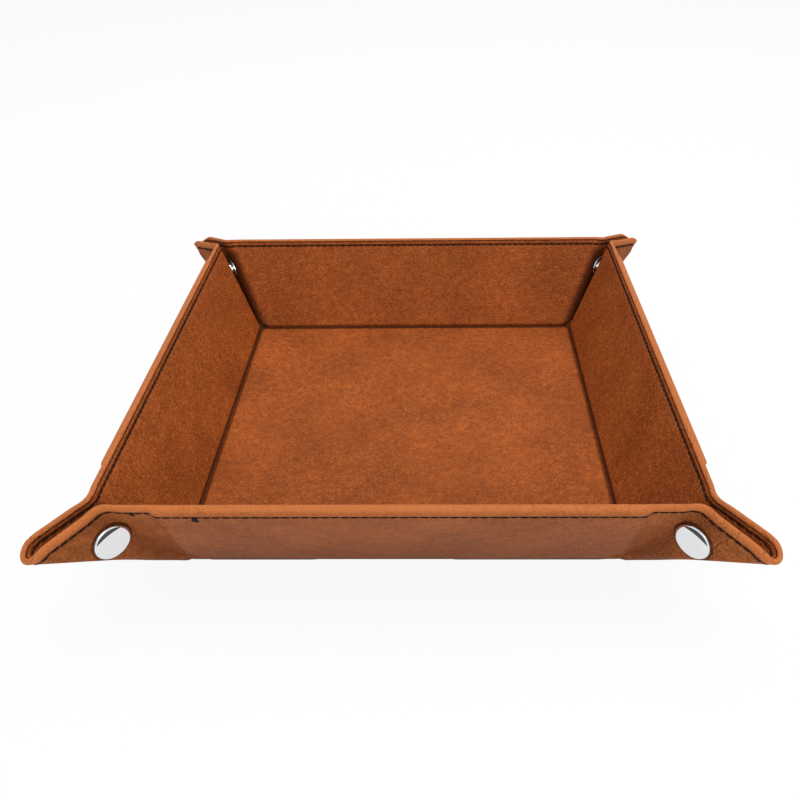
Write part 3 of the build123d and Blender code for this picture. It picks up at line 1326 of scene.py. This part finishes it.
@dataclass
class CreaseLeather:
    """One ply of half of the round turn between a corner's two ears."""

    half: HalfWall
    ply: Ply
    finishes: Finishes
    across: int = 10
    rows: int = 20
    hem: HemProfile = HemProfile(groove=0.2, roll=1.0, steps=10)
    seam_rows: Point = (-1.8, -0.9, -0.45, 0.0, 0.45, 0.9)
    roundness: int = 8

    def section(self) -> list[Point]:
        """The closed section along the crease, as reach and w.

        Returns:
            Points round the section.
        """
        end, thick, leather = SHEET.crease_end, SHEET.ear_thickness, SHEET.leather
        steps = [(end - SHEET.plain_inset) * step / self.rows for step in range(self.rows + 1)]
        steps += [end - SHEET.stitch_inset + row for row in self.seam_rows]
        if self.ply is Ply.LINING:
            under = self.hem.turned_under
            top = [(end - inset, w) for inset, w in self.hem.lining_edge()]
            face = [(reach, 0.0) for reach in reversed(steps)]
            back = [(reach, under) for reach in steps]
            return top + face + back + [(end - self.hem.lining_back, under)]
        nose = [(end - inset, thick * share) for inset, share in self.hem.cover_roll()]
        lip = [(end - inset, w) for inset, w in self.hem.cover_lip()]
        hidden = [(end - self.hem.roll - self.hem.tuck, leather + self.hem.tuck)]
        hidden += [(reach, leather) for reach in reversed(steps)]
        return [(reach, thick) for reach in steps] + nose + lip + hidden

    def rounded(self, reach: np.ndarray, aside: np.ndarray) -> np.ndarray:
        """A reach drawn back towards the tip, where the sheet's corner is round.

        Args:
            reach: How far along the crease.
            aside: How far to the ear's side of it.

        Returns:
            The reach on the real sheet.
        """
        radius = SHEET.corner_radius
        drop = radius - np.sqrt(np.maximum(radius * radius - aside * aside, 0.0))
        return reach - drop * np.clip(reach / SHEET.crease_end, 0.0, 1.0) ** self.roundness

    def build(self) -> Piece:
        """Makes the piece and lets it ride on its ear.

        Returns:
            The finished piece.
        """
        crease = Crease(self.half)
        reach, w = np.array(self.section()).T
        side = np.where(w < 0.5 * SHEET.leather, 0.0, np.where(w > 1.5 * SHEET.leather, 1.0, 0.5))
        w = w + self.hem.sunk(side, SHEET.crease_end - reach)
        aside = np.linspace(1, 0, self.across)[:, None] * SHEET.crease_width(reach)
        flat = crease.on_sheet(self.rounded(reach, aside), aside, w)
        obj = rolled(f"{self.half.ear}_crease_{self.ply.value}_leather", flat)
        crease.fold_piece(obj, True)
        edit(obj, outwards)
        dress(obj, self.finishes.leather(self.ply))
        crease.attach(obj)
        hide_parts(f"{self.half.corner}_crease_strip")
        return obj


@dataclass
class FoldStrip:
    """One ply of the bend between the base and a wall."""

    side: Side
    ply: Ply
    finishes: Finishes
    columns: int = 61
    rows: int = 16
    groove: float = 0.42
    groove_width: float = 0.95

    def section(self) -> list[Point]:
        """The closed section, as the way across the fold and w.

        Returns:
            Points round the section.
        """
        rise = SHEET.seam_rise
        across = [-rise + 2 * rise * step / self.rows for step in range(self.rows + 1)]
        if self.ply is Ply.LINING:
            face = [(s, self.groove * bump(s, 0.0, self.groove_width)) for s in across]
            return face + [(s, SHEET.leather) for s in reversed(across[::2])]
        back = [(s, SHEET.stack - SHEET.leather) for s in reversed(across[::2])]
        return [(s, SHEET.stack) for s in across] + back

    def build(self) -> Piece:
        """Makes the strip and folds it to rest.

        Returns:
            The finished piece.
        """
        half = HalfWall(self.side, 1)
        v, w = np.array(self.section()).T
        longer = (SHEET.foot_end - SHEET.strip_end) * np.clip(v / SHEET.seam_rise, 0, 1)
        u = np.linspace(-1, 1, self.columns)[:, None] * (SHEET.strip_end + longer)
        if self.ply is Ply.COVER:
            w = w + (SHEET.thickness(u) - SHEET.stack)
        obj = rolled(f"{self.side.label}_fold_{self.ply.value}_leather", half.place(u, v, w))
        beyond = unit(half.place(0.0, 1.0, 0.0) - half.place(0.0, 0.0, 0.0))
        reach = SHEET.lining_bend_reach if self.ply is Ply.LINING else SHEET.cover_bend_reach
        bend = Bend.across(half.wall_hinge(), beyond, reach)
        fold_piece(obj, bend.fold)
        dress(obj, self.finishes.leather(self.ply))
        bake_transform(obj)
        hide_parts("base_fold_strips")
        return obj


@dataclass
class BasePanel:
    """One ply of the base, softly uneven over its board."""

    ply: Ply
    finishes: Finishes
    rows: int = 61
    unevenness: float = 0.12
    fade: float = 9.0
    wave_lengths: Point = (13.0, 11.0, 17.0)

    def build(self) -> Piece:
        """Makes the panel.

        Returns:
            The finished piece.
        """
        edge = SHEET.base_half - SHEET.seam_rise
        line = np.linspace(-edge, edge, self.rows)
        x, y = np.meshgrid(line, line, indexing="ij")
        window = smooth(0.0, self.fade, edge - abs(x)) * smooth(0.0, self.fade, edge - abs(y))
        along, across, slanting = self.wave_lengths
        slow = np.sin(x / along + 0.6) * np.cos(y / across)
        slow = slow + 0.7 * np.sin((x - y) / slanting + 1.1)
        low, swell = 0.0, 0.0
        if self.ply is Ply.LINING:
            low, swell = SHEET.stack - SHEET.leather, self.unevenness
        face = np.stack([x, y, low + SHEET.leather + swell * window * slow], axis=-1)
        back = np.stack([x, y, np.full_like(x, low)], axis=-1)[:, ::-1]
        obj = rolled(f"base_{self.ply.value}_leather", np.concatenate([face, back], axis=1) * MM)
        keep_place(obj)
        dress(obj, self.finishes.leather(self.ply), Sharp.SHEET)
        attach(obj, "base")
        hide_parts(f"base_{self.ply.value}")
        return obj


@dataclass
class CornerHeel:
    """The leather gathered at one corner of the base, where the crease runs out."""

    half: HalfWall
    finishes: Finishes
    outer_end: float = 2.6
    inner_end: float = -4.6
    run_out: float = 0.8
    end_share: float = 0.35
    back_share: float = 0.85
    hollow: float = 0.0002
    least_rise: float = 0.00003
    upper_edge: float = 0.00003
    rings: int = 13
    around: int = 17
    over: int = 7
    keep: float = 0.5
    plain: float = 0.8

    def points(self, sideways: np.ndarray, down: np.ndarray) -> tuple[np.ndarray, np.ndarray]:
        """The heel's rings, along the crease's line down into the base's corner.

        Args:
            sideways: The level way across the crease.
            down: The way out of the crease's turn.

        Returns:
            Points at rest, as rings by points by 3, and a point of the heel's middle line.
        """
        near = np.array([0.0, 4.0])
        width = SHEET.crease_width(near)
        edges = self.half.fold(Crease(self.half).on_sheet(near, width, SHEET.ear_thickness))
        middle = edges - (edges @ sideways)[:, None] * sideways
        rise = (middle[1] - middle[0]) / (near[1] - near[0])
        wide, deep = (edges @ sideways)[0], (width[0] + SHEET.sag) * MM
        turn = np.linspace(0, math.pi, self.around)[:, None]
        back = np.linspace(-self.back_share, self.back_share, self.over)[:, None]
        under = wide * np.cos(turn) * sideways + deep * np.sin(turn) * down
        over = wide * back * sideways - self.hollow * (1 - back * back) * down
        rings = []
        for reach in np.linspace(self.outer_end, self.inner_end, self.rings):
            end = min(min(self.outer_end - reach, reach - self.inner_end) / self.run_out, 1.0)
            share = self.end_share + (1 - self.end_share) * math.sqrt(end * (2 - end))
            rings.append(middle[0] + rise * reach + share * np.concatenate([under, over]))
        points = np.array(rings)
        points[:, :, 2] = np.maximum(points[:, :, 2], self.least_rise)
        return points, middle[0]

    def build(self) -> Piece:
        """Makes the heel and lets it ride on the base.

        Its upper side takes the corner's painted shade, and the rest is away from the sheet's
        marks.

        Returns:
            The finished piece.
        """
        crease = Crease(self.half)
        down = crease.down()
        points, middle = self.points(crease.sideways(), down)
        obj = rolled(f"{self.half.corner}_corner_heel", points)
        rest = coordinates(obj)
        # Painted shade: the upper side is given the corner's flat place, where the fold mark paints
        # it dark like the shaded corner
        corner = self.half.place(SHEET.base_half, 0.0, 0.0)
        upper = smooth(0.0, self.upper_edge, (middle - rest) @ down)[:, None]
        set_coordinates(obj, rest * self.plain * (1 - upper) + corner * upper)
        keep_place(obj)
        set_coordinates(obj, rest)
        dress(obj, self.finishes.cover, Sharp.LUMP)
        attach(obj, "base")
        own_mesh(obj)
        return obj


@dataclass
class CornerWeb:
    """The lining's small web where two base folds meet at a corner."""

    half: HalfWall
    finishes: Finishes
    middle: float = 75.75
    heights: tuple[float, ...] = (2.5, 2.9, 3.3, 3.42)
    radii: tuple[float, ...] = (1.5, 2.1, 2.35, 2.1)
    around: int = 24

    def build(self) -> Piece:
        """Makes the web.

        Returns:
            The finished piece.
        """
        corner = self.half.place(self.middle, self.middle - SHEET.base_half, SHEET.stack)
        angle = np.linspace(0, 2 * math.pi, self.around, endpoint=False)
        ring = np.stack([np.cos(angle), np.sin(angle), np.zeros(self.around)], axis=-1) * MM
        rings = [corner + [0, 0, z * MM] + ring * r for z, r in zip(self.heights, self.radii)]
        obj = rolled(f"{self.half.corner}_corner_web", np.array(rings))
        keep_place(obj)
        dress(obj, self.finishes.lining)
        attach(obj, "base")
        return obj


@dataclass
class Stitching:
    """The stitches on one face of half a wall and its ear."""

    half: HalfWall
    ply: Ply
    finishes: Finishes
    count: int = 38
    length: float = 2.78
    thread: float = 0.5
    blunt: float = 0.6
    droop: float = 0.12
    proud: float = 0.12
    groove: float = 0.2
    clear: float = 0.4
    tilt: tuple[float, float] = (0.05, 0.03)
    shift: tuple[float, float] = (0.0, 0.05)
    stretch: tuple[float, float] = (1.0, 0.04)

    def one(self) -> tuple[np.ndarray, list[list[int]]]:
        """One stitch about its own middle, long in x and proud in z.

        Returns:
            Its points in millimetres and its faces.
        """
        deselect()
        bpy.ops.mesh.primitive_uv_sphere_add(segments=8, ring_count=7, radius=0.5)
        ball = bpy.context.object
        edit(ball, lambda: bpy.ops.transform.rotate(
            value=math.pi / 2, orient_axis="Y", center_override=(0, 0, 0)
        ))
        points = coordinates(ball)
        points[:, 0] = np.sign(points[:, 0]) * np.abs(points[:, 0] * 2) ** self.blunt / 2
        points[:, 2] *= self.thread
        points[:, 2] -= self.droop * (np.abs(points[:, 0]) * 2) ** 2
        points[:, :2] *= self.length, self.thread
        faces = [list(polygon.vertices) for polygon in ball.data.polygons]
        bpy.data.meshes.remove(ball.data)
        return points, faces

    def spread(self, local: np.ndarray, rng: np.random.Generator) -> np.ndarray:
        """The stitches' places along the line.

        Args:
            local: One stitch's points.
            rng: A seeded source of small unevenness.

        Returns:
            u, v and w of every point, stitch by stitch.
        """
        radius = SHEET.corner_radius - SHEET.stitch_inset
        pitch = (SHEET.rim_end + radius * math.pi / 4) / self.count
        centres = (np.arange(self.count) + 0.5)[:, None] * pitch
        draws = (self.tilt, self.shift, self.stretch)
        tilt, shift, stretch = (rng.normal(*draw, self.count)[:, None] for draw in draws)
        x, y, z = local.T
        along = centres + x * stretch
        turned = SHEET.rim_end + (along - SHEET.rim_end) * (SHEET.corner_radius / radius)
        aside = y + tilt * x * stretch + shift
        columns = np.where(along > SHEET.rim_end, turned, along)
        u, v = SHEET.border(columns, SHEET.stitch_inset + aside)
        lift = z + self.proud - self.groove
        w = -lift if self.ply is Ply.LINING else SHEET.thickness(u) + lift
        return np.stack(np.broadcast_arrays(u, v, w), axis=-1)

    def piece(self, name: str, flat: np.ndarray, faces: list[list[int]]) -> Piece:
        """Copies of the stitch as one mesh.

        Args:
            name: The piece's name.
            flat: The points, as stitches by points by 3.
            faces: One stitch's faces.

        Returns:
            The piece, laid flat.
        """
        mesh = bpy.data.meshes.new(name)
        starts = range(0, flat.shape[0] * flat.shape[1], flat.shape[1])
        every = [[start + i for i in face] for start in starts for face in faces]
        mesh.from_pydata(flat.reshape(-1, 3).tolist(), [], every)
        obj = bpy.data.objects.new(name, mesh)
        bpy.context.scene.collection.objects.link(obj)
        return obj

    def build(self) -> list[Piece]:
        """Makes the stitches on the wall and ear, and those on the round turn.

        Returns:
            The finished pieces.
        """
        local, faces = self.one()
        seed = self.half.side.value * 4 + (self.half.hand + 1) + (self.ply is Ply.COVER)
        spread = self.spread(local, np.random.default_rng(seed))
        u, v, _ = spread.mean(axis=1).T
        width = SHEET.crease_width(SHEET.reach(u, v))
        on_turn = (SHEET.aside(u, v) < width - self.clear) & (u > SHEET.rim_end)
        crease = Crease(self.half)
        made = []
        for turn, chosen in (("", ~on_turn), ("turn_", on_turn)):
            name = f"{self.half.ear}_{self.ply.value}_{turn}stitches"
            obj = self.piece(name, self.half.place(*np.moveaxis(spread[chosen], -1, 0)), faces)
            if turn:
                crease.fold_piece(obj, False)
            else:
                fold_piece(obj, self.half.fold)
            edit(obj, outwards)
            dress(obj, self.finishes.thread, Sharp.THREAD)
            if turn:
                crease.attach(obj)
            else:
                self.half.bend_with_ear(obj)
            made.append(obj)
        return made


@dataclass
class ThreadKnot:
    """A tied-off end of the thread on the front's outer face."""

    name: str
    along: float
    size: tuple[float, float, float]
    drop: float
    seed: int
    sunk: float = 0.12

    def build(self, finishes: Finishes) -> Piece:
        """Makes the knot as a small uneven lump of thread.

        Args:
            finishes: Every material of the tray.

        Returns:
            The finished piece.
        """
        half = HalfWall(Side.FRONT, -1)
        deselect()
        bpy.ops.mesh.primitive_ico_sphere_add(subdivisions=3, radius=0.5)
        obj = bpy.context.object
        obj.name = self.name
        points = coordinates(obj)
        phase = self.seed * 1.3
        lump = 1 + 0.22 * np.sin(9 * points[:, 0] + phase) * np.cos(8 * points[:, 1] - phase)
        lump += 0.14 * np.sin(17 * points[:, 1] + 11 * points[:, 0] + 2 * phase)
        x, y, z = (points * lump[:, None] * self.size).T
        u, v = self.along + x, SHEET.slant - SHEET.stitch_inset + y - self.drop
        set_coordinates(obj, half.place(u, v, SHEET.thickness(u) - self.sunk + z))
        fold_piece(obj, half.fold)
        edit(obj, outwards)
        dress(obj, finishes.thread, Sharp.LUMP)
        half.bend_with_ear(obj)
        return obj


KNOTS = (
    ThreadKnot("large_thread_knot", 62.8, (2.2, 4.4, 0.68), 1.7, 1),
    ThreadKnot("small_thread_knot", 82.2, (1.5, 2.6, 0.62), 0.9, 4),
)


@dataclass(frozen=True)
class SnapPart:
    """One turned piece of a snap, as radius and height points in millimetres."""

    name: str
    profile: tuple[tuple[float, float], ...]


SNAP_CAP = SnapPart(
    "cap",
    (
        (0.0, 3.34), (2.4, 3.33), (4.1, 3.29), (4.75, 3.24), (5.1, 3.15), (5.45, 3.01),
        (5.85, 2.78), (6.12, 2.58), (6.24, 2.42), (6.22, 2.26), (6.05, 2.12), (5.75, 2.04),
        (5.6, 1.85), (1.55, 1.85), (1.55, -0.8), (0.0, -0.8),
    ),
)
SNAP_SOCKET = SnapPart(
    "socket",
    (
        (1.7, 0.05), (5.2, 0.05), (5.46, -0.08), (5.56, -0.34), (5.46, -0.6), (5.14, -0.76),
        (4.7, -0.7), (3.7, -0.62), (3.45, -0.8), (3.35, -1.7), (3.2, -1.98), (2.9, -2.08),
        (2.5, -2.08), (2.25, -1.95), (2.18, -1.7), (2.3, -1.2), (2.3, -0.62), (1.7, -0.6),
    ),
)
SNAP_STUD = SnapPart(
    "stud",
    (
        (1.12, -0.02), (4.4, -0.02), (4.58, -0.14), (4.58, -0.4), (4.35, -0.6), (3.6, -0.68),
        (2.1, -0.7), (1.72, -0.85), (1.58, -1.2), (1.6, -1.5), (1.74, -1.75), (1.74, -2.05),
        (1.6, -2.22), (1.3, -2.29), (1.12, -2.29),
    ),
)
SNAP_EYELET = SnapPart(
    "eyelet",
    (
        (0.68, 2.3), (0.85, 2.62), (1.2, 2.69), (3.6, 2.66), (4.3, 2.55), (4.6, 2.36), (4.68, 2.1),
        (4.6, 1.85), (1.04, 1.85), (1.04, -2.28), (0.68, -2.28),
    ),
)


@dataclass
class Snap:
    """The two snap pieces on one ear."""

    half: HalfWall
    finishes: Finishes
    steps: int = 56
    merge_gap: float = 0.004

    def turned(self, part: SnapPart) -> Piece:
        """Spins a snap piece's profile and sets it in its ear.

        Args:
            part: The piece.

        Returns:
            The finished piece.
        """
        name = f"{self.half.ear}_{part.name}"
        deselect()
        bpy.ops.mesh.primitive_circle_add(vertices=len(part.profile), radius=1.0)
        obj = bpy.context.object
        obj.name = f"{name}_metal"
        set_coordinates(obj, np.array([(r, 0.0, h) for r, h in part.profile]))
        edit(
            obj,
            lambda: bpy.ops.mesh.spin(
                steps=self.steps, angle=2 * math.pi, center=(0, 0, 0), axis=(0, 0, 1)
            ),
            lambda: bpy.ops.mesh.remove_doubles(threshold=self.merge_gap),
        )
        local = coordinates(obj)
        set_coordinates(obj, local * MM)
        keep_place(obj, TURNED_PLACE)
        x, y, z = local.T
        flat = self.half.place(SHEET.snap[0] + x, SHEET.snap[1] + y, z)
        set_coordinates(obj, self.half.fold_ear(flat))
        edit(obj, outwards)
        dress(obj, self.finishes.metal, Sharp.METAL)
        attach(obj, self.half.ear)
        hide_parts(name)
        return obj

    def build(self) -> list[Piece]:
        """Makes the two pieces that this ear carries.

        Returns:
            The finished pieces.
        """
        if self.half.side in (Side.FRONT, Side.REAR):
            return [self.turned(SNAP_CAP), self.turned(SNAP_SOCKET)]
        return [self.turned(SNAP_EYELET), self.turned(SNAP_STUD)]


@dataclass
class Stage:
    """The pale floor, the soft lights and the camera."""

    lens: float = 37.09
    sensor: float = 36.0
    pitch: float = 35.3
    yaw: float = 1.272
    roll: float = -0.958
    place: tuple[float, float, float] = (0.0121, -0.2802, 0.2114)
    shift_x: float = -0.03
    floor_size: float = 6.0
    floor_height: float = -0.0003
    near: float = 0.01
    floor_grey: float = 0.86
    floor_white: float = 0.9
    room_light: float = 0.45

    def link(self, name: str, data: bpy.types.ID) -> bpy.types.Object:
        """A new object in the scene.

        Args:
            name: The object's name.
            data: Its data.

        Returns:
            The object.
        """
        obj = bpy.data.objects.new(name, data)
        bpy.context.scene.collection.objects.link(obj)
        return obj

    def camera(self) -> None:
        """Sets the camera where the photograph was taken from."""
        cam = bpy.data.cameras.new("camera")
        cam.sensor_width, cam.lens, cam.shift_x = self.sensor, self.lens, self.shift_x
        cam.clip_start = self.near
        yaw, pitch, roll = (math.radians(a) for a in (self.yaw, self.pitch, self.roll))
        right = Vector((math.cos(yaw), math.sin(yaw), 0))
        level = Vector((-math.sin(yaw), math.cos(yaw), 0))
        upright = Vector((0, 0, 1))
        ahead = level * math.cos(pitch) - upright * math.sin(pitch)
        up = level * math.sin(pitch) + upright * math.cos(pitch)
        across = right * math.cos(roll) + up * math.sin(roll)
        over = up * math.cos(roll) - right * math.sin(roll)
        obj = self.link("camera", cam)
        turn = Matrix((across, over, -ahead)).transposed()
        obj.matrix_world = Matrix.Translation(Vector(self.place)) @ turn.to_4x4()
        bpy.context.scene.camera = obj

    def shown(self, n: Nodes) -> Socket:
        """1 where the surround is looked at or mirrored, 0 where it gives light.

        Args:
            n: The writer of the floor's or the surround's tree.

        Returns:
            The share.
        """
        path = n.add("LightPath").outputs
        rays = n.plus(path["Is Camera Ray"], path["Is Glossy Ray"])
        return n.math("MINIMUM", n.plus(rays, path["Is Transmission Ray"]), 1.0)

    def floor(self) -> None:
        """Lays the floor, white to the camera and in reflections, with the shadow kept."""
        deselect()
        bpy.ops.mesh.primitive_plane_add(size=self.floor_size, location=(0, 0, self.floor_height))
        floor = bpy.context.object
        floor.name = "floor"
        material = bpy.data.materials.new("white_floor")
        material.use_nodes = True
        n = Nodes(material.node_tree)
        matt = n.add("BsdfDiffuse", Color=(*[self.floor_grey] * 3, 1.0))
        white = n.add("Emission", Color=(1, 1, 1, 1), Strength=1.0)
        share = n.times(self.shown(n), self.floor_white)
        mixed = n.fed("MixShader", share, matt.outputs[0], white.outputs[0])
        n.add("OutputMaterial", Surface=mixed.outputs[0])
        floor.data.materials.append(material)

    def world(self) -> None:
        """A white surround that lights the tray softly."""
        world = bpy.data.worlds.new("surround")
        bpy.context.scene.world = world
        world.use_nodes = True
        n = Nodes(world.node_tree)
        strength = n.plus(self.room_light, n.times(self.shown(n), 1 - self.room_light))
        back = n.add("Background", Color=(1, 1, 1, 1), Strength=strength)
        n.add("OutputWorld", Surface=back.outputs[0])

    def lights(self) -> None:
        """Two soft lamps above the tray."""
        for name, place, size, power in (
            ("top_light", (0.15, 0.25, 0.9), 0.9, 7.0),
            ("front_light", (0.1, -0.8, 0.55), 0.6, 4.0),
        ):
            lamp = bpy.data.lights.new(name, "AREA")
            lamp.size, lamp.energy = size, power
            obj = self.link(name, lamp)
            obj.location = place
            obj.rotation_euler = (-Vector(place)).to_track_quat("-Z", "Y").to_euler()

    def build(self) -> None:
        """Builds the whole stage."""
        self.camera()
        self.floor()
        self.world()
        self.lights()
        bpy.context.scene.view_settings.view_transform = "Standard"


def main() -> None:
    """Builds the tray piece by piece."""
    logging.basicConfig(level=logging.INFO, format="%(message)s")
    finishes = Finishes.make()
    made: list[Piece] = []
    for ply in Ply:
        made.append(BasePanel(ply, finishes).build())
        made += [FoldStrip(side, ply, finishes).build() for side in Side]
    for piece in (CornerHeel, CornerWeb):
        made += [piece(HalfWall(side, 1), finishes).build() for side in Side]
    for half in HALVES:
        made += [WallLeather(half, ply, finishes).build() for ply in Ply]
        made += [CreaseLeather(half, ply, finishes).build() for ply in Ply]
        for ply in Ply:
            made += Stitching(half, ply, finishes).build()
        made += Snap(half, finishes).build()
    made += [knot.build(finishes) for knot in KNOTS]
    for piece in made:
        LOG.info("%s: %d faces", piece.name, len(piece.data.polygons))
    for name, node in frame["nodes"].items():
        if name.endswith("_board"):
            paint(node, finishes.board)
    Stage().build()


if __name__ == "__main__":
    main()
